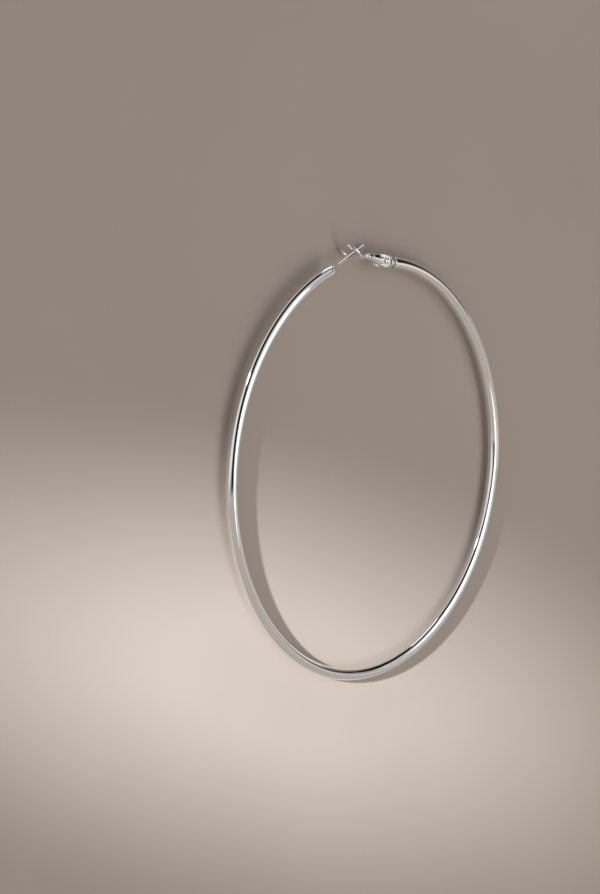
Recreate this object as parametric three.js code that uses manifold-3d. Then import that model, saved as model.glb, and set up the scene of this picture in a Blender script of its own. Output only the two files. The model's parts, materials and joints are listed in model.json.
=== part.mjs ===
// A large round hoop earring of polished silver: a hollow round tube bent to a hoop, a straight ear
// post on one tube end, and a folded lever with an open ring, hinged on the other, that closes over
// the post. The hoop lies on its side: the clasp is towards +Y and the hinge turns about the hoop's
// own axis. Millimetres.
import * as THREE from 'three'
import { mergeVertices } from 'three/addons/utils/BufferGeometryUtils.js'
import Module from 'manifold-3d'

const wasm = await Module()
wasm.setup()

// ---- driving dimensions ----
const HOOP_RADIUS = 43.25 // centre line of the tube
const TUBE_RADIUS = 1.25
const TUBE_WALL = 0.25
const TUBE_SIDES = 16
const TUBE_STEPS = 96
const SEAM = 0.06 // gap left at each soldered seam
const PLUG_CLEARANCE = 0.12 // between a plug and the tube's bore
const PLUG_LENGTH = 1.6

// Angles round the hoop are in degrees from +Y, positive towards +X.
const POST_FACE_ANGLE = -14.6 // outer face of the post's end cap
const HINGE_END_ANGLE = 12.2 // tube end at the hinge
const HINGE_TUCK = 0.7 // how far the tube's hinge end bends in from the true circle
const TUCK_SPAN = 30 // degrees over which it does
const CAP_THICKNESS = 0.6
const CAP_BEVEL = 0.4

const POST_RADIUS = 0.36
const POST_LENGTH = 13.6
const POST_BEVEL = 0.15
const POST_LEAN = 8 // degrees out of the hoop's plane, towards -Z
const POST_RISE = 1.3 // degrees away from the hoop, beyond the tangent

const PIVOT = new THREE.Vector2(5.65, 42.2)
const FLANGE_RADIUS = 1.3
const FLANGE_THICKNESS = 0.5
const GROOVE_RADIUS = 0.8
const GROOVE_LENGTH = 0.85
const TONGUE_THICKNESS = 1.3
const TONGUE_HALF_HEIGHT = 0.75
const TONGUE_TURN = 78 // degrees from +X to the top of its round end

const RIVET_RADIUS = 0.45
const RIVET_HOLE_RADIUS = 0.52
const RIVET_HEAD_RADIUS = 0.65
const RIVET_HEAD_HEIGHT = 0.22
const RIVET_HEAD_FLAT = 0.7 // a head's flat top, as a share of its radius
const HEAD_GAP = 0.05

const LEVER_WIDTH = 2.8
const CHEEK = 0.35 // thickness of each side of the lever
const SPINE = 0.4 // thickness of its top
const LEVER_END_RADIUS = 1.38 // round end about the rivet
const NOSE = new THREE.Vector2(0.92, 43.56) // centre of the lever's narrow end
const NOSE_RADIUS = 0.6
const NOSE_WIDTH = 1.7
const TAPER_LENGTH = 1.3 // over which the lever widens from the nose
const HOLLOW_START = 1.7 // where the folded channel begins, along X
const HOLLOW_TOP_END = 4.85 // where its top ends, short of the rivet

const RING_CENTRE = new THREE.Vector2(-4.8, 44.66) // centre of the ring's inner face
const RING_TURN = 46 // degrees from the X axis to the ring's own axis
const RING_RADIUS = 2.6
const RING_HOLE_RADIUS = 1.7
const RING_THICKNESS = 0.6
const RING_GAP = [17, 57] // opening for the post, in degrees from the ring's foot towards -Z
const STRAP_WIDTH = 1.0 // joins the ring's foot to the lever's nose
const STRAP_THICKNESS = 0.7
const STRAP_LAP = 0.45 // how far it runs in under the ring's rim
const STRAP_DEPTH = 0.6 // where it meets the ring, as a share of the ring's thickness
const STRAP_RISE = 0.2 // its end's height above the nose's centre
const ROUND_SIDES = 24 // sides of a round piece

const Z = new THREE.Vector3(0, 0, 1)
const rad = THREE.MathUtils.degToRad

// ---- joining and cutting ----
function toSolid(geometry, matrix = new THREE.Matrix4()) {
  const bare = geometry.index ? geometry.toNonIndexed() : geometry.clone()
  bare.deleteAttribute('normal')
  bare.deleteAttribute('uv')
  bare.clearGroups()
  bare.applyMatrix4(matrix)
  const merged = mergeVertices(bare, 1e-5)
  return new wasm.Manifold(new wasm.Mesh({
    numProp: 3,
    vertProperties: new Float32Array(merged.attributes.position.array),
    triVerts: new Uint32Array(merged.index.array),
  }))
}

function toGeometry(solid) {
  const mesh = solid.getMesh()
  const geometry = new THREE.BufferGeometry()
  geometry.setAttribute('position', new THREE.BufferAttribute(mesh.vertProperties, 3))
  geometry.setIndex(new THREE.BufferAttribute(mesh.triVerts, 1))
  geometry.computeVertexNormals()
  return geometry
}

// ---- places round the hoop ----
function hoopPoint(degrees) {
  const nearHinge = degrees > 0 ? Math.max(0, 1 - (degrees - HINGE_END_ANGLE) / TUCK_SPAN) : 0
  const radius = HOOP_RADIUS - HINGE_TUCK * nearHinge ** 2
  return new THREE.Vector3(Math.sin(rad(degrees)), Math.cos(rad(degrees)), 0).multiplyScalar(radius)
}

function tangent(degrees) {
  const step = 0.01
  return hoopPoint(degrees + step).sub(hoopPoint(degrees - step)).normalize()
}

// Degrees that a length along the tube's centre line spans.
function spanOf(length) {
  return THREE.MathUtils.radToDeg(length / HOOP_RADIUS)
}

// Turns +Y, the axis of a lathed piece, to a direction and moves it to a point.
function alongAxis(point, direction) {
  const turn = new THREE.Quaternion().setFromUnitVectors(new THREE.Vector3(0, 1, 0), direction)
  return new THREE.Matrix4().compose(point, turn, new THREE.Vector3(1, 1, 1))
}

// A turned piece from rows of [radius, height] that start and end on the axis.
function turned(profile, point, direction) {
  const outline = profile.map(([radius, height]) => new THREE.Vector2(radius, height))
  return toSolid(new THREE.LatheGeometry(outline, ROUND_SIDES), alongAxis(point, direction))
}

// An outline in the hoop's plane, extruded to a width centred on that plane.
function plate(points, width) {
  const geometry = new THREE.ExtrudeGeometry(new THREE.Shape(points), { depth: width, bevelEnabled: false })
  geometry.translate(0, 0, -width / 2)
  return toSolid(geometry)
}

function circlePoints(centre, radius, from = 0, to = 360) {
  const count = Math.ceil(ROUND_SIDES * Math.abs(to - from) / 360)
  const full = Math.abs(to - from) === 360
  return Array.from({ length: full ? count : count + 1 }, (_, i) => {
    const angle = rad(from + (to - from) * i / count)
    return new THREE.Vector2(centre.x + radius * Math.cos(angle), centre.y + radius * Math.sin(angle))
  })
}

// ---- the hoop's tube ----
class HoopArc extends THREE.Curve {
  constructor(from, to) {
    super()
    this.from = from
    this.to = to
  }

  getPoint(t, target = new THREE.Vector3()) {
    return target.copy(hoopPoint(this.from + (this.to - this.from) * t))
  }
}

function hoopTube() {
  const section = (radius) => Array.from({ length: TUBE_SIDES }, (_, i) => {
    const angle = 2 * Math.PI * i / TUBE_SIDES
    return new THREE.Vector2(radius * Math.cos(angle), radius * Math.sin(angle))
  })
  const shape = new THREE.Shape(section(TUBE_RADIUS))
  shape.holes.push(new THREE.Path(section(TUBE_RADIUS - TUBE_WALL)))
  const postEnd = POST_FACE_ANGLE - spanOf(CAP_THICKNESS + SEAM)
  const route = new HoopArc(HINGE_END_ANGLE, 360 + postEnd)
  return toGeometry(toSolid(new THREE.ExtrudeGeometry(shape, { steps: TUBE_STEPS, extrudePath: route })))
}

// ---- the ear post, soldered to the cap that closes its tube end ----
function postDirection() {
  const across = new THREE.Vector3(0, 0, -1)
  return tangent(POST_FACE_ANGLE)
    .applyAxisAngle(Z, rad(POST_RISE))
    .multiplyScalar(Math.cos(rad(POST_LEAN)))
    .addScaledVector(across, Math.sin(rad(POST_LEAN)))
}

function earPost() {
  const root = hoopPoint(POST_FACE_ANGLE)
  const plugRadius = TUBE_RADIUS - TUBE_WALL - PLUG_CLEARANCE
  const cap = turned([
    [0, -CAP_THICKNESS - PLUG_LENGTH],
    [plugRadius, -CAP_THICKNESS - PLUG_LENGTH],
    [plugRadius, -CAP_THICKNESS],
    [TUBE_RADIUS, -CAP_THICKNESS],
    [TUBE_RADIUS, -CAP_BEVEL],
    [TUBE_RADIUS - CAP_BEVEL, 0],
    [0, 0],
  ], root, tangent(POST_FACE_ANGLE))
  const wire = turned([
    [0, -CAP_THICKNESS / 2],
    [POST_RADIUS, -CAP_THICKNESS / 2],
    [POST_RADIUS, POST_LENGTH - POST_BEVEL],
    [POST_RADIUS - POST_BEVEL, POST_LENGTH],
    [0, POST_LENGTH],
  ], root, postDirection())
  return toGeometry(cap.add(wire))
}

// ---- the hinge fitting: plug, groove and flange in line with the tube, then a flat tongue ----
function hingeFitting() {
  const plugRadius = TUBE_RADIUS - TUBE_WALL - PLUG_CLEARANCE
  const flangeBase = GROOVE_LENGTH
  const flangeFace = GROOVE_LENGTH + FLANGE_THICKNESS
  const turnedPart = turned([
    [0, -PLUG_LENGTH],
    [plugRadius, -PLUG_LENGTH],
    [plugRadius, SEAM],
    [GROOVE_RADIUS, SEAM],
    [GROOVE_RADIUS, flangeBase],
    [FLANGE_RADIUS, flangeBase],
    [FLANGE_RADIUS, flangeFace],
    [0, flangeFace],
  ], hoopPoint(HINGE_END_ANGLE), tangent(HINGE_END_ANGLE).negate())

  const foot = hoopPoint(HINGE_END_ANGLE - spanOf(flangeFace - FLANGE_THICKNESS / 2))
  const out = new THREE.Vector2(foot.x, foot.y).normalize().multiplyScalar(TONGUE_HALF_HEIGHT)
  const tongue = plate([
    new THREE.Vector2(foot.x - out.x, foot.y - out.y),
    new THREE.Vector2(foot.x + out.x, foot.y + out.y),
    ...circlePoints(PIVOT, TONGUE_HALF_HEIGHT, TONGUE_TURN, TONGUE_TURN + 180),
  ], TONGUE_THICKNESS)
  const hole = plate(circlePoints(PIVOT, RIVET_HOLE_RADIUS), 2 * TONGUE_THICKNESS)
  return toGeometry(turnedPart.add(tongue).subtract(hole))
}

// ---- the rivet through the lever's cheeks and the tongue ----
function hingeRivet() {
  const face = LEVER_WIDTH / 2 + HEAD_GAP
  const top = face + RIVET_HEAD_HEIGHT
  const rim = face + RIVET_HEAD_HEIGHT / 2
  const half = [[RIVET_RADIUS, face], [RIVET_HEAD_RADIUS, face], [RIVET_HEAD_RADIUS, rim],
    [RIVET_HEAD_RADIUS * RIVET_HEAD_FLAT, top], [0, top]]
  const mirrored = half.map(([radius, height]) => [radius, -height]).reverse()
  return toGeometry(turned([...mirrored, ...half], new THREE.Vector3(PIVOT.x, PIVOT.y, 0), Z))
}

// ---- the lever: folded channel, strap and open ring ----
// A link's outline: two round ends joined by their outer tangents.
function linkOutline(small, smallRadius, large, largeRadius) {
  const along = new THREE.Vector2().subVectors(large, small)
  const slope = THREE.MathUtils.radToDeg(along.angle())
  const spread = THREE.MathUtils.radToDeg(Math.asin((largeRadius - smallRadius) / along.length()))
  return [
    ...circlePoints(large, largeRadius, slope - 90 - spread, slope + 90 + spread),
    ...circlePoints(small, smallRadius, slope + 90 + spread, slope + 270 - spread),
  ]
}

// The hollow under the lever's top, open below and open above beyond the top's end.
function leverHollow() {
  const slope = (PIVOT.y + LEVER_END_RADIUS - NOSE.y - NOSE_RADIUS) / (PIVOT.x - NOSE.x)
  const underTop = (x) => NOSE.y + NOSE_RADIUS - SPINE + slope * (x - NOSE.x)
  const clear = 3 * LEVER_END_RADIUS
  return plate([
    new THREE.Vector2(HOLLOW_START, underTop(HOLLOW_START)),
    new THREE.Vector2(HOLLOW_START, PIVOT.y - clear),
    new THREE.Vector2(PIVOT.x + clear, PIVOT.y - clear),
    new THREE.Vector2(PIVOT.x + clear, PIVOT.y + clear),
    new THREE.Vector2(HOLLOW_TOP_END, PIVOT.y + clear),
    new THREE.Vector2(HOLLOW_TOP_END, underTop(HOLLOW_TOP_END)),
  ].reverse(), LEVER_WIDTH - 2 * CHEEK)
}

// The lever's outline from above, narrower at the nose, as a prism that passes right through it.
function leverPlan() {
  const nose = NOSE.x - 2 * NOSE_RADIUS
  const wide = NOSE.x - NOSE_RADIUS + TAPER_LENGTH
  const end = PIVOT.x + 2 * LEVER_END_RADIUS
  const narrow = NOSE_WIDTH / 2
  const half = LEVER_WIDTH / 2
  const outline = [[nose, narrow], [NOSE.x, narrow], [wide, half], [end, half],
    [end, -half], [wide, -half], [NOSE.x, -narrow], [nose, -narrow]]
  const shape = new THREE.Shape(outline.map(([x, z]) => new THREE.Vector2(x, -z)))
  const geometry = new THREE.ExtrudeGeometry(shape, { depth: HOOP_RADIUS, bevelEnabled: false })
  geometry.rotateX(-Math.PI / 2)
  geometry.translate(0, HOOP_RADIUS / 2, 0)
  return toSolid(geometry)
}

// The ring's outline is drawn with its foot at -90 degrees and the gap beside it.
function clampRing() {
  const shape = new THREE.Shape()
  const from = rad(-90 - RING_GAP[0])
  const to = rad(-90 - RING_GAP[1])
  shape.absarc(0, 0, RING_RADIUS, from, to, false)
  shape.absarc(0, 0, RING_HOLE_RADIUS, to, from, true)
  const geometry = new THREE.ExtrudeGeometry(shape, {
    depth: RING_THICKNESS, bevelEnabled: false, curveSegments: ROUND_SIDES,
  })
  const axis = new THREE.Vector3(Math.cos(rad(RING_TURN)), Math.sin(rad(RING_TURN)), 0)
  const up = new THREE.Vector3(-axis.y, axis.x, 0)
  const place = new THREE.Matrix4().makeBasis(Z, up, axis.clone().negate())
  place.setPosition(RING_CENTRE.x + RING_THICKNESS * axis.x, RING_CENTRE.y + RING_THICKNESS * axis.y, 0)
  return toSolid(geometry, place)
}

function strap() {
  const turn = rad(RING_TURN)
  const reach = RING_RADIUS - STRAP_LAP
  const depth = RING_THICKNESS * STRAP_DEPTH
  const foot = new THREE.Vector2(
    RING_CENTRE.x + reach * Math.sin(turn) + depth * Math.cos(turn),
    RING_CENTRE.y - reach * Math.cos(turn) + depth * Math.sin(turn),
  )
  const rise = new THREE.Vector2(0, STRAP_THICKNESS / 2)
  const end = new THREE.Vector2(NOSE.x, NOSE.y + STRAP_RISE)
  return plate([
    foot.clone().sub(rise), end.clone().sub(rise), end.clone().add(rise), foot.clone().add(rise),
  ], STRAP_WIDTH)
}

function latchLever() {
  const link = plate(linkOutline(NOSE, NOSE_RADIUS, PIVOT, LEVER_END_RADIUS), LEVER_WIDTH)
  const rivetHole = plate(circlePoints(PIVOT, RIVET_HOLE_RADIUS), 2 * LEVER_WIDTH)
  const channel = link.intersect(leverPlan()).subtract(leverHollow()).subtract(rivetHole)
  return toGeometry(channel.add(strap()).add(clampRing()))
}

// ---- assembly ----
const POLISHED = { color: 0xd9dadb, roughness: 0.06, metalness: 1 }
const STAMPED = { color: 0xd2d2d2, roughness: 0.16, metalness: 1 }

const pieces = [
  ['hoop_tube', hoopTube(), POLISHED],
  ['ear_post', earPost(), POLISHED],
  ['hinge_fitting', hingeFitting(), POLISHED],
  ['hinge_rivet', hingeRivet(), STAMPED],
  ['latch_lever', latchLever(), STAMPED],
]

// The ring stands proud of the tube, so the hoop rests on the ring's rim and on the tube's far side.
const lowRing = RING_RADIUS - TUBE_RADIUS
const restTilt = Math.asin(lowRing / (HOOP_RADIUS + RING_CENTRE.y))

const laid = new THREE.Group()
for (const [name, geometry, finish] of pieces) {
  const mesh = new THREE.Mesh(geometry, new THREE.MeshStandardMaterial(finish))
  mesh.name = name
  laid.add(mesh)
}
laid.rotation.x = restTilt

// The origin is under the middle of the whole part's box.
const box = new THREE.Box3().setFromObject(laid, true)
laid.position.set(-(box.min.x + box.max.x) / 2, -(box.min.y + box.max.y) / 2, -box.min.z)

const earring = new THREE.Group()
earring.add(laid)
export default earring
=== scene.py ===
# A large round hoop earring of polished silver, lying on its side on a pale floor: a hollow tube bent
# to a hoop, a straight ear post on one tube end, and a folded lever with an open ring, hinged on the
# other, that closes over the post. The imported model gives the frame; the fine surfaces are made here.
import json
import math

import bpy
import numpy as np
from mathutils import Matrix, Vector


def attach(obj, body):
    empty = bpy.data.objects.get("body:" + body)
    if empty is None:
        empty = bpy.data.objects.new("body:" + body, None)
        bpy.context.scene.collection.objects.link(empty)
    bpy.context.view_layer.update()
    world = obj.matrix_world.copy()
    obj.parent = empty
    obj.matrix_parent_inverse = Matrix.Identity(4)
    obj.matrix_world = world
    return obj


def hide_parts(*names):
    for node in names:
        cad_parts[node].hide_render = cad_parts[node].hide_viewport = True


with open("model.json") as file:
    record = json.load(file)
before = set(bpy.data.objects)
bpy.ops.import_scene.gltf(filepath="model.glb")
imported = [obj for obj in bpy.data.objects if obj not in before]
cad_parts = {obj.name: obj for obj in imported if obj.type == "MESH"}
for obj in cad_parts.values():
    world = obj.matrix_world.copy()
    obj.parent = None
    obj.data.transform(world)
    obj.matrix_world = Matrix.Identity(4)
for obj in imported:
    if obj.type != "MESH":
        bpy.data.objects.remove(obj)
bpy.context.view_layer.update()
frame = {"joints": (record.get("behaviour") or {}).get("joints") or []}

# ---- driving dimensions, in millimetres in the hoop's own frame ----
# The hoop's centre is the origin, the clasp is towards +Y and the hoop's axis is Z.
MM = 0.001
HOOP_RADIUS = 43.25
TUBE_RADIUS = 1.25
TUBE_WALL = 0.25
SEAM = 0.06
PLUG_RADIUS = 0.88
PLUG_LENGTH = 1.6

# Angles round the hoop are in degrees from +Y, positive towards +X.
POST_FACE_ANGLE = -14.6
HINGE_END_ANGLE = 12.2
HINGE_TUCK = 0.7
TUCK_SPAN = 30.0
TUBE_LIP = 0.02  # softened edge of the tube's ends
TUBE_SIDES = 40
TUBE_STEPS = 620

CAP_THICKNESS = 0.6
CAP_EDGE = 0.34
CAP_RIM_EDGE = 0.02
SOLDER_FILLET = 0.45

POST_RADIUS = 0.36
POST_LENGTH = 13.6
POST_TIP_EDGE = 0.16
POST_LEAN = 8.0
POST_RISE = 1.3
POST_ROOM = 0.3  # space left round the post's cap in its grid

PIVOT = np.array([5.65, 42.2])
FLANGE_RADIUS = 1.3
FLANGE_THICKNESS = 0.5
FLANGE_EDGE = 0.18
GROOVE_RADIUS = 0.8
GROOVE_LENGTH = 0.85
TONGUE_THICKNESS = 1.3
TONGUE_HALF_HEIGHT = 0.75
NECK_EDGE = 0.04
FLANGE_FILLET = 0.05
TONGUE_FILLET = 0.18
TONGUE_HOLE_EDGE = 0.06
FITTING_BELOW = (-1.2, -2.2, -1.5)  # the grid's low corner, from the pivot's X and the tube end's Y
FITTING_ABOVE = (2.0, 1.8, 1.5)  # the grid's high corner, from the tube end

RIVET_RADIUS = 0.45
RIVET_HOLE_RADIUS = 0.52
RIVET_HEAD_RADIUS = 0.65
RIVET_HEAD_HEIGHT = 0.22
RIVET_SIDES = 64
HEAD_GAP = 0.05
HEAD_FILLET = 0.02  # between the pin and the head's underside
HEAD_CHAMFER = (0.03, 0.02)  # inwards and upwards, on the underside's rim
HEAD_BAND = 0.04  # height of the head's upright rim
HEAD_DOME = 0.45  # share of its radius by which the domed head narrows
DIMPLE_SHARE = 0.5
DIMPLE_DEPTH = 0.06

LEVER_WIDTH = 2.8
CHEEK = 0.35  # thickness of its two side walls
CHEEK_DRAFT = 0.09  # slope by which the cheeks draw together away from the spine
CHEEK_SLACK = 0.9  # keeps the distance to the sloping cheeks from being overstated
CROWN = 0.42  # how far the cheeks round over near the nose; at the rivet they are flat
CROWN_FADE = (0.45, 0.9)  # shares of the way from the nose to the pivot
SPINE = 0.4  # thickness of its back
LEVER_END_RADIUS = 1.38
LEVER_EDGE = 0.18
LEVER_ROOM = 0.2  # space left round the lever in its grid
NOSE = np.array([0.92, 43.56])
NOSE_RADIUS = 0.6
NOSE_WIDTH = 1.7
TAPER_LENGTH = 1.3
HOLLOW_START = 1.7
HOLLOW_TOP_END = 4.85
HOLLOW_EDGE = 0.08
CHEEK_HOLE_EDGE = 0.05

RING_CENTRE = np.array([-4.8, 44.66])
RING_TURN = 46.0
RING_RADIUS = 2.6
RING_HOLE_RADIUS = 1.7
RING_THICKNESS = 0.6
RING_GAP = (17.0, 57.0)  # degrees round the rim from its foot
RING_EDGE = 0.27
RING_FILLET = 0.25
STRAP_WIDTH = 1.0
STRAP_THICKNESS = 0.7
STRAP_RISE = 0.2
STRAP_LAP = 0.45  # how far the strap reaches in from the ring's rim
STRAP_DEPTH = 0.6  # share of the ring's thickness at which the strap ends
STRAP_EDGE = 0.07
STRAP_FILLET = 0.2

CELL = 0.06  # grid of the blended surfaces
FITTING_CELL = 0.05
EDGE = 0.12  # softened edge of a pressed or turned piece

# ---- materials: tones, and noises in repeats to a metre ----
SILVER_TONE = (0.925, 0.922, 0.92)
STAMPED_TONE = (0.90, 0.895, 0.89)
SMEAR_TINT = (0.965, 0.955, 0.94)
SMEAR_SCALE = 260.0
DRAWN_SLOW = 220.0  # polishing lines, along the tube
DRAWN_FAST = 14000.0  # and across it
POLISH = {"turn": (0.3, 0.1, 0.8), "scale": (700, 9000, 9000)}
HAIRLINES = (
    {"turn": (0.4, 0.9, 0.5), "scale": (300, 16000, 5000)},
    {"turn": (1.3, 0.2, 2.1), "scale": (16000, 350, 6000)},
)
SCRATCH_RANGE = (0.68, 0.8)
SCRATCH_ROUGHNESS = 0.12
# Bumps: their strength, and their height in metres.
WAVE_BUMP = (0.35, 12e-6)
LINE_BUMP = (0.10, 1.2e-6)
SCRATCH_BUMP = (0.12, 2e-6)

FLOOR_SIZE = 8.0
FLOOR_TONE = (0.60, 0.522, 0.475)
FLOOR_TONE_DEEP = (0.565, 0.49, 0.445)
CLOUD_SCALE = 14.0
GRAIN_SCALE = 900.0
GRAIN_SHARE = 0.12
GRAIN_BUMP = (0.25, 60e-6)
FLOOR_ROUGHNESS = 0.78
FLOOR_SPECULAR = 0.3

# ---- light; azimuths are from +X towards +Y, and all angles are in degrees ----
WARM_WHITE = (1.0, 0.985, 0.965)
COOL_WHITE = (0.97, 0.98, 1.0)
POOL_WHITE = (0.95, 0.99, 1.0)
ROOM_WHITE = (1.0, 0.925, 0.87)

# The room as the silver sees it: a pale patch overhead, a dark band round it, and the walls.
TOP_AZIMUTH = 45.0
TOP_ELEVATION = 65.0
TOP_TONE = (0.55, 0.55, 0.55)
BAND_INNER = (29.0, 36.0)  # the band begins this far from the overhead patch's middle
BAND_AZIMUTH = 70.0
BAND_ELEVATION = 62.0
BAND_OUTER = (52.0, 60.0)  # and ends this far from the band's own middle
BAND_END = (-0.165, -0.135)  # Y of the look, where the clasp's side of the room begins
BAND_TONE = (0.006, 0.006, 0.007)
BACK_TONE = (0.21, 0.185, 0.16)
ROOM_TONE = (0.45, 0.41, 0.37)
GLOW_AZIMUTH = 127.0  # a bright stretch of wall at the hoop's upper left
GLOW_EDGE = (0.34, 0.57)  # cosines of the look's angle to the glow's middle
GLOW_TONE = (0.78, 0.78, 0.79)

POOL_AZIMUTH = 163.0
POOL_ELEVATION = 17.0
POOL_DISTANCE = 1.2
POOL_AIM = (-0.026, -0.042, 0)
POOL_POWER = 135.0
POOL_SPREAD = 3.3
POOL_BLEND = 0.32
POOL_LAMP_RADIUS = 0.02

# ---- camera, at the photo's angle to the hoop ----
CAMERA_PLACE = (-0.47629, 0.09818, 0.38715)
CAMERA_BACK = (-0.7539, 0.1529, 0.6390)  # from what it looks at towards the camera
CAMERA_UPRIGHT = (0.1404, 0.9876, -0.0706)
SENSOR_WIDTH = 36.0
LENS = 120.8


# ---- from the hoop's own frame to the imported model's ----
def hoop_frame():
    """The turn and the shift that lay the hoop's own frame in the model's, from its hinge."""
    hinge = next(joint for joint in frame["joints"] if joint["name"] == "lever_hinge")
    hoop_axis = -Vector(hinge["axis"]).normalized()
    x_axis = Vector((1, 0, 0))
    y_axis = hoop_axis.cross(x_axis)
    turn = Matrix((x_axis, y_axis, hoop_axis)).transposed()
    pivot = Vector((PIVOT[0], PIVOT[1], 0)) * MM
    return turn, Vector(hinge["pos_m"]) - turn @ pivot


TURN, SHIFT = hoop_frame()


def laid(points):
    """Points of the hoop's own frame, in millimetres, as metres in the model's frame."""
    return np.asarray(points) * MM @ np.array(TURN).T + np.array(SHIFT)


def unit(vector):
    return vector / np.linalg.norm(vector)


def hoop_point(degrees):
    """A point of the tube's centre line, which draws in a little towards the hinge."""
    near_hinge = np.clip(1 - (degrees - HINGE_END_ANGLE) / TUCK_SPAN, 0, None)
    radius = HOOP_RADIUS - HINGE_TUCK * np.where(degrees > 0, near_hinge, 0) ** 2
    angle = np.radians(degrees)
    return np.stack([radius * np.sin(angle), radius * np.cos(angle), 0 * angle], -1)


def hoop_tangent(degrees):
    step = 0.01
    return unit(hoop_point(degrees + step) - hoop_point(degrees - step))


def span_of(length):
    """Degrees that a length along the tube's centre line spans."""
    return math.degrees(length / HOOP_RADIUS)


# ---- pieces from vertices and faces ----
def add_piece(name, points, quads, body, node, material):
    """A smooth mesh on a body; a quad whose last two corners are the same becomes a triangle."""
    faces = [list(dict.fromkeys(quad)) for quad in quads.tolist()]
    mesh = bpy.data.meshes.new(name)
    mesh.from_pydata(laid(points).tolist(), [], faces)
    mesh.polygons.foreach_set("use_smooth", [True] * len(mesh.polygons))
    mesh.materials.append(material)
    mesh.validate()
    mesh.update()
    piece = bpy.data.objects.new(name, mesh)
    bpy.context.scene.collection.objects.link(piece)
    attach(piece, body)
    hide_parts(node)


# ---- distances, for surfaces that blend into each other ----
def rounded_meet(first, second, edge):
    """Common part of two shapes given by distance, with its edge rounded to a radius."""
    a, b = first + edge, second + edge
    return np.minimum(np.maximum(a, b), 0) + np.hypot(np.maximum(a, 0), np.maximum(b, 0)) - edge


def blended(first, second, fillet):
    """Both shapes together, with a fillet where they join."""
    near = np.maximum(fillet - np.abs(first - second), 0) / fillet
    return np.minimum(first, second) - near * near * fillet / 4


def cut(shape, tool, edge):
    """A shape less a tool, with the cut's edge softened."""
    return -blended(-shape, tool, edge)


def capsule(points, start, end, radius):
    """Distance in the plane to a segment with round ends."""
    along = end - start
    share = np.clip((points - start) @ along / (along @ along), 0, 1)
    return np.linalg.norm(points - start - share[:, None] * along, axis=1) - radius


def smooth_step(value, low, high):
    share = np.clip((value - low) / (high - low), 0, 1)
    return share * share * (3 - 2 * share)


def surface_net(distance, low, high, cell):
    """Vertices and quads of the closed surface where distance is zero, settled onto it."""
    low = np.asarray(low, float)
    counts = np.ceil((np.asarray(high) - low) / cell).astype(int) + 1
    grid = np.stack(np.meshgrid(*[np.arange(count) for count in counts], indexing="ij"), -1)
    field = distance(low + cell * grid.reshape(-1, 3)).reshape(counts)
    total = np.zeros((*counts, 3))
    number = np.zeros(counts)
    rings = []
    for axis in range(3):
        ahead = np.roll(field, -1, axis)
        crossing = (field < 0) != (ahead < 0)
        np.moveaxis(crossing, axis, 0)[-1] = False
        edge = np.argwhere(crossing)
        here, there = field[tuple(edge.T)], ahead[tuple(edge.T)]
        point = edge.astype(float)
        point[:, axis] += here / (here - there)
        side, other = np.eye(3, dtype=int)[(axis + 1) % 3], np.eye(3, dtype=int)[(axis + 2) % 3]
        around = [edge, edge - side, edge - side - other, edge - other]
        for cells in around:
            np.add.at(total, tuple(cells.T), point)
            np.add.at(number, tuple(cells.T), 1)
        ring = np.stack([np.ravel_multi_index(tuple(cells.T), counts) for cells in around], 1)
        ring[here > 0] = ring[here > 0][:, ::-1]
        rings.append(ring)
    used = np.flatnonzero(number)
    place = np.zeros(number.size, int)
    place[used] = np.arange(len(used))
    points = low + cell * total.reshape(-1, 3)[used] / number.reshape(-1, 1)[used]
    return settle(points, distance), place[np.concatenate(rings)]


def settle(points, distance):
    """Moves points onto the surface along its slope, in a few Newton steps."""
    step = 1e-4
    least_slope = 0.25
    for _ in range(4):
        here = distance(points)
        slope = np.stack([distance(points + step * side) - here for side in np.eye(3)], 1) / step
        length = np.maximum((slope * slope).sum(1), least_slope)
        points = points - (here / length)[:, None] * slope
    return points


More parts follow.
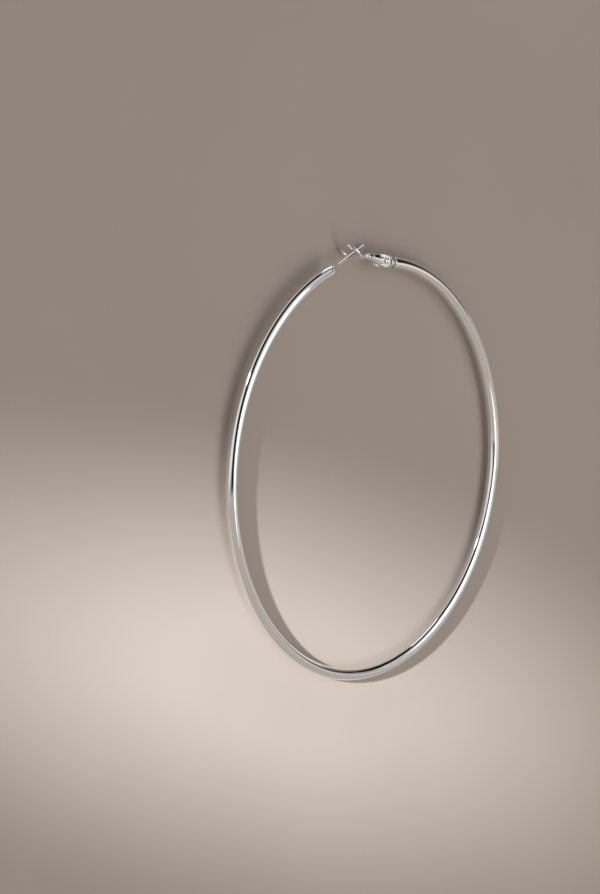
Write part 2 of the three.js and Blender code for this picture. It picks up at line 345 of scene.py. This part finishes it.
# ---- materials ----
class Nodes:
    """Adds nodes to a tree and joins them; a value is either a number or another node's output."""

    def __init__(self, tree):
        self.tree = tree
        self.tree.nodes.clear()

    def add(self, kind, inputs=(), **settings):
        node = self.tree.nodes.new(kind)
        for name, value in settings.items():
            setattr(node, name, value)
        for name, value in dict(inputs).items():
            self.put(node.inputs[name], value)
        return node

    def put(self, socket, value):
        if isinstance(value, bpy.types.NodeSocket):
            self.tree.links.new(value, socket)
        else:
            socket.default_value = value

    def math(self, operation, *values):
        return self.add("ShaderNodeMath", dict(enumerate(values)), operation=operation).outputs[0]

    def dot(self, first, second):
        inputs = {0: first, 1: tuple(second)}
        return self.add("ShaderNodeVectorMath", inputs, operation="DOT_PRODUCT").outputs["Value"]

    def degrees_from(self, look, middle):
        radians = self.math("ARCCOSINE", self.dot(look, middle))
        return self.math("MULTIPLY", radians, 180 / math.pi)

    def remap(self, value, low, high, to_low, to_high, smooth=False):
        inputs = {"Value": value, "From Min": low, "From Max": high}
        inputs.update({"To Min": to_low, "To Max": to_high})
        kind = "SMOOTHSTEP" if smooth else "LINEAR"
        return self.add("ShaderNodeMapRange", inputs, interpolation_type=kind).outputs["Result"]

    def mix(self, share, first, second):
        node = self.add("ShaderNodeMix", data_type="RGBA")
        colours = [socket for socket in node.inputs if socket.type == "RGBA"]
        self.put(node.inputs["Factor"], share)
        self.put(colours[0], first)
        self.put(colours[1], second)
        return next(socket for socket in node.outputs if socket.type == "RGBA")

    def noise(self, vector, scale, detail=2.0, roughness=0.5):
        inputs = {"Vector": vector, "Scale": scale, "Detail": detail, "Roughness": roughness}
        return self.add("ShaderNodeTexNoise", inputs).outputs[0]

    def stretched_noise(self, vector, turn, scale, detail):
        inputs = {"Vector": vector, "Rotation": turn, "Scale": scale}
        stretched = self.add("ShaderNodeMapping", inputs).outputs["Vector"]
        return self.noise(stretched, 1.0, detail)

    def bump(self, height, strength, distance, normal=None):
        inputs = {"Height": height, "Strength": strength, "Distance": distance}
        if normal is not None:
            inputs["Normal"] = normal
        return self.add("ShaderNodeBump", inputs).outputs["Normal"]


def rgb(red, green, blue):
    return (red, green, blue, 1.0)


def along_hoop(nodes, position):
    """Coordinates that run slowly along the tube and fast across it, without a seam."""
    centred = nodes.add("ShaderNodeVectorMath", {0: position, 1: tuple(SHIFT)}, operation="SUBTRACT")
    x, y, z = nodes.add("ShaderNodeSeparateXYZ", {"Vector": centred.outputs[0]}).outputs
    squares = nodes.math("ADD", nodes.math("MULTIPLY", x, x), nodes.math("MULTIPLY", y, y))
    reach = nodes.math("SQRT", squares)
    radius = HOOP_RADIUS * MM
    across = nodes.math("MULTIPLY", nodes.math("SUBTRACT", reach, radius), DRAWN_FAST)
    deep = nodes.math("MULTIPLY", z, DRAWN_FAST)
    cosine = nodes.math("MULTIPLY", nodes.math("DIVIDE", x, reach), DRAWN_SLOW * radius)
    sine = nodes.math("MULTIPLY", nodes.math("DIVIDE", y, reach), DRAWN_SLOW * radius)
    first = nodes.math("ADD", across, cosine)
    second = nodes.math("ADD", deep, sine)
    third = nodes.math("SUBTRACT", cosine, sine)
    return nodes.add("ShaderNodeCombineXYZ", {"X": first, "Y": second, "Z": third}).outputs[0]


def silver(name, base, roughness, swirl, drawn):
    """Silver with faint polishing lines, random hairline scratches and soft smears."""
    material = bpy.data.materials.new(name)
    material.use_nodes = True
    nodes = Nodes(material.node_tree)
    position = nodes.add("ShaderNodeTexCoord").outputs["Object"]

    if drawn:
        lines = nodes.noise(along_hoop(nodes, position), 1.0, 3.0)
    else:
        lines = nodes.stretched_noise(position, **POLISH, detail=3.0)
    hairs = [nodes.stretched_noise(position, **hairline, detail=1.0) for hairline in HAIRLINES]
    scratch = nodes.remap(nodes.math("MAXIMUM", *hairs), *SCRATCH_RANGE, 0.0, 1.0, smooth=True)
    smear = nodes.noise(position, SMEAR_SCALE, 4.0, 0.6)
    waves = nodes.noise(position, swirl, 2.0, 0.4)

    shade = nodes.remap(smear, 0.3, 0.75, 0.0, 1.0)
    warmer = tuple(channel * tint for channel, tint in zip(base, SMEAR_TINT))
    colour = nodes.mix(shade, rgb(*base), rgb(*warmer))
    even = nodes.remap(lines, 0.3, 0.7, roughness * 0.75, roughness * 1.3)
    smeared = nodes.math("ADD", even, nodes.remap(smear, 0.45, 0.8, 0.0, roughness * 0.8))
    rough = nodes.math("ADD", smeared, nodes.math("MULTIPLY", scratch, SCRATCH_ROUGHNESS))

    soft = nodes.bump(waves, *WAVE_BUMP)
    brushed = nodes.bump(lines, *LINE_BUMP, soft)
    normal = nodes.bump(nodes.math("MULTIPLY", scratch, -1.0), *SCRATCH_BUMP, brushed)
    shader = nodes.add("ShaderNodeBsdfPrincipled", {
        "Base Color": colour, "Metallic": 1.0, "Roughness": rough, "Normal": normal,
    })
    output = nodes.add("ShaderNodeOutputMaterial")
    nodes.put(output.inputs["Surface"], shader.outputs[0])
    return material


def floor_material():
    """Smooth warm plaster, faintly mottled."""
    material = bpy.data.materials.new("warm_plaster")
    material.use_nodes = True
    nodes = Nodes(material.node_tree)
    position = nodes.add("ShaderNodeTexCoord").outputs["Object"]
    clouds = nodes.noise(position, CLOUD_SCALE, 4.0, 0.55)
    grain = nodes.noise(position, GRAIN_SCALE, 5.0, 0.65)
    mottle = nodes.remap(clouds, 0.3, 0.7, 0.0, 1.0)
    tone = nodes.mix(mottle, rgb(*FLOOR_TONE), rgb(*FLOOR_TONE_DEEP))
    fine = nodes.mix(nodes.remap(grain, 0.35, 0.65, 0.0, GRAIN_SHARE), tone, rgb(*FLOOR_TONE_DEEP))
    shader = nodes.add("ShaderNodeBsdfPrincipled", {
        "Base Color": fine,
        "Roughness": FLOOR_ROUGHNESS,
        "Normal": nodes.bump(grain, *GRAIN_BUMP),
        "Specular IOR Level": FLOOR_SPECULAR,
    })
    output = nodes.add("ShaderNodeOutputMaterial")
    nodes.put(output.inputs["Surface"], shader.outputs[0])
    return material


# ---- the hoop's tube ----
def hoop_tube(material):
    """A hollow tube swept along the hoop, open at both ends, with softened end edges."""
    first = HINGE_END_ANGLE
    last = 360 + POST_FACE_ANGLE - span_of(CAP_THICKNESS)
    lip_span = span_of(TUBE_LIP)
    bend = 0.3  # share of the lip at which its edge bends
    edge_radius = TUBE_RADIUS - TUBE_LIP
    bend_radius = TUBE_RADIUS - bend * TUBE_LIP
    rows = [(first, edge_radius), (first + bend * lip_span, bend_radius)]
    for angle in np.linspace(first + lip_span, last - lip_span, TUBE_STEPS):
        rows.append((angle, TUBE_RADIUS))
    rows += [(last - bend * lip_span, bend_radius), (last, edge_radius)]
    for angle in np.linspace(last, first, TUBE_STEPS):
        rows.append((angle, TUBE_RADIUS - TUBE_WALL))

    turn = 2 * math.pi * np.arange(TUBE_SIDES) / TUBE_SIDES
    points = []
    for angle, radius in rows:
        out = unit(np.cross(hoop_tangent(angle), [0, 0, 1]))
        section = np.cos(turn)[:, None] * out + np.sin(turn)[:, None] * [0, 0, 1]
        points.append(hoop_point(angle) + radius * section)
    quads = closed_rows(len(rows), TUBE_SIDES)
    points = np.concatenate(points)
    add_piece("silver_tube", points, quads, "hoop", "hoop_tube", material)


def closed_rows(rows, sides):
    """Quads between successive rows of points, the last joined to the first."""
    row, side = np.meshgrid(np.arange(rows), np.arange(sides), indexing="ij")
    ahead, beside = (row + 1) % rows, (side + 1) % sides
    here, next_row = row * sides, ahead * sides
    corners = [here + side, here + beside, next_row + beside, next_row + side]
    return np.stack(corners, -1).reshape(-1, 4)


# ---- the ear post and its cap ----
def post_direction():
    """Along the tube at its end, but turned a little outwards and leaning out of the hoop's plane."""
    lean, rise = math.radians(POST_LEAN), math.radians(POST_RISE)
    x, y, _ = hoop_tangent(POST_FACE_ANGLE)
    turned_x = x * math.cos(rise) - y * math.sin(rise)
    turned_y = x * math.sin(rise) + y * math.cos(rise)
    return np.array([turned_x * math.cos(lean), turned_y * math.cos(lean), -math.sin(lean)])


def rod(points, root, direction, start, end, radius, edge):
    """A round bar along a direction, from start to end, with rounded edges."""
    along = (points - root) @ direction
    off = np.linalg.norm(points - root - along[:, None] * direction, axis=1)
    half = (end - start) / 2
    return rounded_meet(off - radius, np.abs(along - start - half) - half, edge)


def post_distance(points):
    """The plug in the tube, the round cap over the tube's end and the wire soldered to it."""
    root = hoop_point(POST_FACE_ANGLE)
    tangent = hoop_tangent(POST_FACE_ANGLE)
    plug = rod(points, root, tangent, -CAP_THICKNESS - PLUG_LENGTH, -CAP_EDGE, PLUG_RADIUS, EDGE)
    cap = rod(points, root, tangent, -CAP_THICKNESS - 2 * CAP_EDGE, 0, TUBE_RADIUS, CAP_EDGE)
    past_rim = (points - root) @ tangent + CAP_THICKNESS
    cap = np.minimum(plug, rounded_meet(cap, -past_rim, CAP_RIM_EDGE))
    wire = rod(points, root, post_direction(), -CAP_EDGE, POST_LENGTH, POST_RADIUS, POST_TIP_EDGE)
    return blended(cap, wire, SOLDER_FILLET)


def ear_post(material):
    tip = hoop_point(POST_FACE_ANGLE) + POST_LENGTH * post_direction()
    back = hoop_point(POST_FACE_ANGLE - span_of(CAP_THICKNESS + PLUG_LENGTH))
    room = TUBE_RADIUS + POST_ROOM
    low = np.minimum(tip, back) - room
    high = np.maximum(tip, back) + room
    points, quads = surface_net(post_distance, low, high, CELL)
    add_piece("silver_post", points, quads, "hoop", "ear_post", material)


# ---- the hinge fitting and its rivet ----
def fitting_distance(points):
    """The plug in the tube, the groove, the flange and the tongue with the rivet's hole."""
    root = hoop_point(HINGE_END_ANGLE)
    out = -hoop_tangent(HINGE_END_ANGLE)
    plug = rod(points, root, out, -PLUG_LENGTH, SEAM, PLUG_RADIUS, NECK_EDGE)
    neck = rod(points, root, out, -PLUG_LENGTH, GROOVE_LENGTH + EDGE, GROOVE_RADIUS, NECK_EDGE)
    face = GROOVE_LENGTH + FLANGE_THICKNESS
    flange = rod(points, root, out, GROOVE_LENGTH, face, FLANGE_RADIUS, FLANGE_EDGE)
    turned = blended(np.minimum(plug, neck), flange, FLANGE_FILLET)
    foot = (root + (GROOVE_LENGTH + FLANGE_THICKNESS / 2) * out)[:2]
    outline = capsule(points[:, :2], foot, PIVOT, TONGUE_HALF_HEIGHT)
    outline = np.maximum(outline, GROOVE_LENGTH + EDGE - (points - root) @ out)
    tongue = rounded_meet(outline, np.abs(points[:, 2]) - TONGUE_THICKNESS / 2, EDGE)
    hole = np.linalg.norm(points[:, :2] - PIVOT, axis=1) - RIVET_HOLE_RADIUS
    return cut(blended(turned, tongue, TONGUE_FILLET), hole, TONGUE_HOLE_EDGE)


def hinge_fitting(material):
    root = hoop_point(HINGE_END_ANGLE)
    low = np.array([PIVOT[0], root[1], 0]) + FITTING_BELOW
    high = root + FITTING_ABOVE
    points, quads = surface_net(fitting_distance, low, high, FITTING_CELL)
    add_piece("silver_hinge_end", points, quads, "hoop", "hinge_fitting", material)


def head_profile():
    """Radius and height of half the rivet, from the pin up under the head and over to its middle."""
    underside = LEVER_WIDTH / 2 + HEAD_GAP
    chamfer_in, chamfer_up = HEAD_CHAMFER
    profile = [
        (RIVET_RADIUS, underside - HEAD_FILLET),
        (RIVET_RADIUS + HEAD_FILLET, underside),
        (RIVET_HEAD_RADIUS - chamfer_in, underside),
        (RIVET_HEAD_RADIUS, underside + chamfer_up),
    ]
    for angle in np.linspace(0, math.pi / 2, 12):
        radius = RIVET_HEAD_RADIUS * (1 - HEAD_DOME * (1 - math.cos(angle)))
        dome = (RIVET_HEAD_HEIGHT - HEAD_BAND) * math.sin(angle)
        profile.append((radius, underside + HEAD_BAND + dome))
    for share in np.linspace(0, 1, 8)[:-1]:
        radius = RIVET_HEAD_RADIUS * DIMPLE_SHARE * (1 - share)
        dip = DIMPLE_DEPTH * math.sin(share * math.pi / 2)
        profile.append((radius, underside + RIVET_HEAD_HEIGHT - dip))
    return np.array(profile)


def hinge_rivet(material):
    """A turned pin with two domed heads, each with a shallow dimple from its setting."""
    half = head_profile()
    profile = np.concatenate([half[::-1] * [1, -1], half])
    turn = 2 * math.pi * np.arange(RIVET_SIDES) / RIVET_SIDES
    circle = np.stack([np.cos(turn), np.sin(turn)], 1)
    rows = []
    for radius, height in profile:
        rows.append(np.column_stack([PIVOT + radius * circle, np.full(RIVET_SIDES, height)]))
    middles = [[*PIVOT, profile[0, 1]], [*PIVOT, profile[-1, 1]]]

    near = np.arange(RIVET_SIDES)
    beside = (near + 1) % RIVET_SIDES
    last = (len(rows) - 1) * RIVET_SIDES
    bottom = np.full(RIVET_SIDES, len(rows) * RIVET_SIDES)
    top = bottom + 1
    quads = np.concatenate([
        closed_rows(len(rows), RIVET_SIDES)[:-RIVET_SIDES],
        np.column_stack([beside, near, bottom, bottom]),
        np.column_stack([last + near, last + beside, top, top]),
    ])
    points = np.concatenate(rows + [middles])
    add_piece("silver_rivet", points, quads, "hoop", "hinge_rivet", material)


# ---- the lever: folded channel, strap and open ring ----
def lever_body(points):
    """Distances to the unhollowed channel and to its cheeks, and the height towards its spine."""
    flat, z = points[:, :2], np.abs(points[:, 2])
    line = PIVOT - NOSE
    length = np.linalg.norm(line)
    line = line / length
    normal = np.array([-line[1], line[0]])
    lean = (LEVER_END_RADIUS - NOSE_RADIUS) / length
    upright = math.sqrt(1 - lean * lean)
    along = (flat - NOSE) @ line
    over = (flat - NOSE) @ normal
    over_top = over * upright - along * lean
    share = np.clip((along + np.abs(over) * lean / upright) / length, 0, 1)
    half_height = NOSE_RADIUS + share * (LEVER_END_RADIUS - NOSE_RADIUS)
    side = np.hypot(along - share * length, over) - half_height

    nose_end = NOSE[0] - NOSE_RADIUS
    grown = smooth_step(points[:, 0], NOSE[0], nose_end + TAPER_LENGTH)
    half_width = NOSE_WIDTH / 2 + grown * (LEVER_WIDTH - NOSE_WIDTH) / 2
    draft = CHEEK_DRAFT * (RIVET_HEAD_RADIUS - over)
    crowned = 1 - smooth_step(share, *CROWN_FADE)
    crown = CROWN * crowned * (over / half_height) ** 2
    across = (z - half_width + draft + crown) * CHEEK_SLACK
    return rounded_meet(side, across, LEVER_EDGE), across, over_top


def lever_distance(points):
    """The folded channel, hollow under its spine, with the strap and the ring on its nose."""
    body, across, over_top = lever_body(points)
    x = points[:, 0]
    no_top = -1.0  # past the spine's end the hollow is open upwards
    below = np.where(x < HOLLOW_TOP_END, over_top - NOSE_RADIUS + SPINE, no_top)
    hollow = np.maximum(np.maximum(across + CHEEK, below), HOLLOW_START - x)
    channel = cut(body, hollow, HOLLOW_EDGE)
    hole = np.linalg.norm(points[:, :2] - PIVOT, axis=1) - RIVET_HOLE_RADIUS
    channel = cut(channel, hole, CHEEK_HOLE_EDGE)
    strapped = blended(channel, strap_distance(points), STRAP_FILLET)
    return blended(strapped, ring_distance(points), RING_FILLET)


def ring_axes():
    """The ring's own axis, which its thickness follows, and the way from its foot to its top."""
    turn = math.radians(RING_TURN)
    axis = np.array([math.cos(turn), math.sin(turn), 0])
    return axis, np.array([-axis[1], axis[0], 0])


def ring_distance(points):
    """The flat ring, open beside its foot to let the post through."""
    axis, up = ring_axes()
    offset = points - np.append(RING_CENTRE, 0)
    depth = np.abs(offset @ axis - RING_THICKNESS / 2) - RING_THICKNESS / 2
    rise, z = offset @ up, offset[:, 2]
    middle = math.radians(sum(RING_GAP) / 2)
    open_half = math.radians((RING_GAP[1] - RING_GAP[0]) / 2)
    angle = np.arctan2(-z, -rise) - middle
    angle = np.abs((angle + math.pi) % (2 * math.pi) - math.pi)
    reach = np.hypot(rise, z)
    past = np.maximum(open_half - angle, 0)
    mean = (RING_RADIUS + RING_HOLE_RADIUS) / 2
    radial = np.abs(reach * np.cos(past) - mean) - (RING_RADIUS - RING_HOLE_RADIUS) / 2
    box = np.stack([radial + RING_EDGE, depth + RING_EDGE, reach * np.sin(past)], 1)
    inside = np.minimum(np.maximum(box[:, 0], box[:, 1]), 0)
    return inside + np.linalg.norm(np.maximum(box, 0), axis=1) - RING_EDGE


def strap_distance(points):
    """The flat strap from the lever's nose to the foot of the ring."""
    axis, up = ring_axes()
    foot = RING_CENTRE - (RING_RADIUS - STRAP_LAP) * up[:2] + STRAP_DEPTH * RING_THICKNESS * axis[:2]
    end = NOSE + np.array([0, STRAP_RISE])
    outline = capsule(points[:, :2], foot, end, STRAP_THICKNESS / 2)
    return rounded_meet(outline, np.abs(points[:, 2]) - STRAP_WIDTH / 2, STRAP_EDGE)


def latch_lever(material):
    half = RING_RADIUS + LEVER_ROOM
    low = [RING_CENTRE[0] - half, PIVOT[1] - LEVER_END_RADIUS - LEVER_ROOM, -half]
    high = [PIVOT[0] + LEVER_END_RADIUS + LEVER_ROOM, RING_CENTRE[1] + half, half]
    points, quads = surface_net(lever_distance, low, high, CELL)
    add_piece("silver_lever", points, quads, "lever", "latch_lever", material)


# ---- floor, light and camera ----
def pale_floor():
    half = FLOOR_SIZE / 2
    mesh = bpy.data.meshes.new("floor")
    corners = [(-half, -half, 0), (half, -half, 0), (half, half, 0), (-half, half, 0)]
    mesh.from_pydata(corners, [], [(0, 1, 2, 3)])
    mesh.materials.append(floor_material())
    floor = bpy.data.objects.new("floor", mesh)
    bpy.context.scene.collection.objects.link(floor)


def direction(azimuth, elevation):
    a, e = math.radians(azimuth), math.radians(elevation)
    return Vector((math.cos(e) * math.cos(a), math.cos(e) * math.sin(a), math.sin(e)))


def softbox(name, place, width, height, brightness, colour, lights):
    """An area light that looks at the hoop's middle and lights only the silver or only the floor."""
    light = bpy.data.lights.new(name, "AREA")
    light.shape = "RECTANGLE"
    light.size = width
    light.size_y = height
    light.energy = brightness * math.pi * width * height
    light.color = colour
    lamp = bpy.data.objects.new(name, light)
    lamp.location = place
    lamp.rotation_euler = place.to_track_quat("Z", "Y").to_euler()
    lamp.visible_diffuse = lights == "floor"
    lamp.visible_glossy = lights == "silver"
    bpy.context.scene.collection.objects.link(lamp)


def studio_surround():
    """The room that the silver reflects; it is darker on the clasp's side, where the band is."""
    world = bpy.data.worlds.new("studio")
    world.use_nodes = True
    nodes = Nodes(world.node_tree)
    look = nodes.add("ShaderNodeTexCoord").outputs["Generated"]
    y = nodes.add("ShaderNodeSeparateXYZ", {"Vector": look}).outputs[1]
    from_top = nodes.degrees_from(look, direction(TOP_AZIMUTH, TOP_ELEVATION))
    from_band = nodes.degrees_from(look, direction(BAND_AZIMUTH, BAND_ELEVATION))
    towards_glow = nodes.dot(look, direction(GLOW_AZIMUTH, 0))

    clasp_side = nodes.remap(y, *BAND_END, 0.0, 1.0, smooth=True)
    inner = nodes.remap(from_top, *BAND_INNER, 0.0, 1.0, smooth=True)
    outer = nodes.remap(from_band, *BAND_OUTER, 1.0, 0.0, smooth=True)
    band = nodes.math("MULTIPLY", nodes.math("MULTIPLY", inner, outer), clasp_side)
    top = nodes.remap(from_top, *BAND_INNER, 1.0, 0.0, smooth=True)
    glow = nodes.remap(towards_glow, *GLOW_EDGE, 0.0, 1.0, smooth=True)

    room = nodes.mix(clasp_side, rgb(*ROOM_TONE), rgb(*BACK_TONE))
    room = nodes.mix(glow, room, rgb(*GLOW_TONE))
    room = nodes.mix(top, room, rgb(*TOP_TONE))
    colour = nodes.mix(band, room, rgb(*BAND_TONE))
    background = nodes.add("ShaderNodeBackground", {"Color": colour, "Strength": 1.0})
    output = nodes.add("ShaderNodeOutputWorld")
    nodes.put(output.inputs["Surface"], background.outputs[0])
    bpy.context.scene.world = world


def light_pool():
    """A long soft-edged pool of light on the floor, on the side away from the clasp."""
    light = bpy.data.lights.new("floor_pool", "SPOT")
    light.energy = POOL_POWER
    light.color = POOL_WHITE
    light.spot_size = math.radians(POOL_SPREAD)
    light.spot_blend = POOL_BLEND
    light.shadow_soft_size = POOL_LAMP_RADIUS
    lamp = bpy.data.objects.new("floor_pool", light)
    lamp.location = direction(POOL_AZIMUTH, POOL_ELEVATION) * POOL_DISTANCE
    aim = Vector(POOL_AIM) - lamp.location
    lamp.rotation_euler = aim.to_track_quat("-Z", "Y").to_euler()
    lamp.visible_glossy = False
    bpy.context.scene.collection.objects.link(lamp)


# Places and sizes are in metres, and brightness is watts to a square metre, divided by pi.
SOFTBOXES = (
    {
        "name": "room_softbox", "place": direction(-75, 52) * 0.9, "width": 0.5, "height": 0.5,
        "brightness": 1.65, "colour": ROOM_WHITE, "lights": "floor",
    },
    {
        "name": "top_softbox", "place": Vector((0.039, 0.027, 0.167)), "width": 0.15, "height": 0.15,
        "brightness": 1.2, "colour": COOL_WHITE, "lights": "silver",
    },
    {
        "name": "right_card", "place": Vector((0.30, -0.01, 0.03)), "width": 0.10, "height": 0.08,
        "brightness": 0.7, "colour": WARM_WHITE, "lights": "silver",
    },
    {
        "name": "clasp_card", "place": Vector((0.226, -0.046, 0.182)), "width": 0.16, "height": 0.05,
        "brightness": 0.34, "colour": COOL_WHITE, "lights": "silver",
    },
    {
        "name": "post_card_low", "place": Vector((0.057, 0.120, 0.016)), "width": 0.06, "height": 0.05,
        "brightness": 1.1, "colour": COOL_WHITE, "lights": "silver",
    },
    {
        "name": "strip_light", "place": direction(133, 15) * 0.7, "width": 0.06, "height": 0.34,
        "brightness": 2.6, "colour": COOL_WHITE, "lights": "silver",
    },
)


def studio_light():
    studio_surround()
    light_pool()
    for box in SOFTBOXES:
        softbox(**box)


def camera():
    """Looks down on the laid hoop at the photo's angle, with the clasp at the picture's top."""
    data = bpy.data.cameras.new("camera")
    data.sensor_width = SENSOR_WIDTH
    data.lens = LENS
    data.clip_start = 0.01
    data.clip_end = 50.0
    back = Vector(CAMERA_BACK).normalized()
    right = Vector(CAMERA_UPRIGHT).cross(back).normalized()
    turn = Matrix((right, back.cross(right), back)).transposed()
    view = bpy.data.objects.new("camera", data)
    view.matrix_world = Matrix.Translation(Vector(CAMERA_PLACE)) @ turn.to_4x4()
    bpy.context.scene.collection.objects.link(view)
    bpy.context.scene.camera = view


# ---- the whole scene ----
camera()
studio_light()
pale_floor()

polished = silver("polished_silver", SILVER_TONE, roughness=0.055, swirl=900.0, drawn=True)
polished_end = silver("polished_silver_ends", SILVER_TONE, roughness=0.06, swirl=1100.0, drawn=False)
stamped = silver("stamped_silver", STAMPED_TONE, roughness=0.085, swirl=1400.0, drawn=False)

hoop_tube(polished)
ear_post(polished_end)
hinge_fitting(polished_end)
hinge_rivet(stamped)
latch_lever(stamped)

bpy.context.scene.view_settings.view_transform = "Standard"
